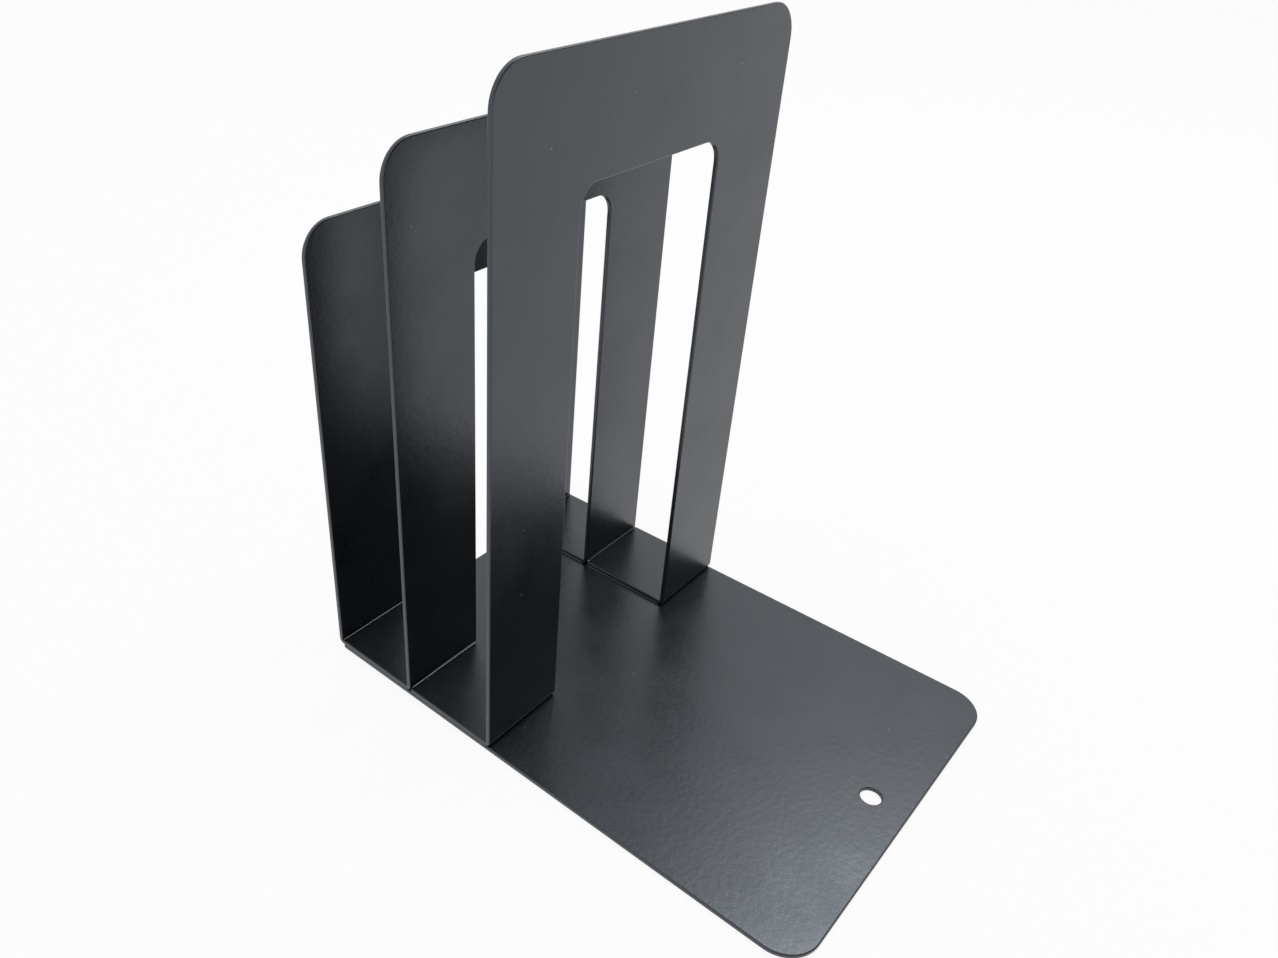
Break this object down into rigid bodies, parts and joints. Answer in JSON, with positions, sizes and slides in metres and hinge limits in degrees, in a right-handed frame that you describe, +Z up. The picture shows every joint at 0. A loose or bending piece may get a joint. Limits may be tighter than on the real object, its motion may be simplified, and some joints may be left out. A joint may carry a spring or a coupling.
{
  "type": "book end",
  "caption": "Stepped book end of folded black sheet steel with windowed uprights that rise towards the front and a long flat base plate with a fixing hole.",
  "frame": {"origin": "middle of the footprint, on the surface that the base plate rests on", "axes": "+Z up; +Y towards the rear upright, so that the free end of the base points to -Y; +X to the right when seen from the free end"},
  "size_m": [0.14, 0.2, 0.227],
  "materials": {
    "black_coat": "semi-gloss black powder coat on 1.5 mm sheet steel",
    "weld_steel": "bare fused steel of the spot welds, sealed between the sheets"
  },
  "bodies": {
    "root": {"base_plate": "black_coat", "rear_channel": "black_coat", "front_bracket": "black_coat", "channel_welds": "weld_steel", "bracket_welds": "weld_steel"}
  },
  "joints": []
}
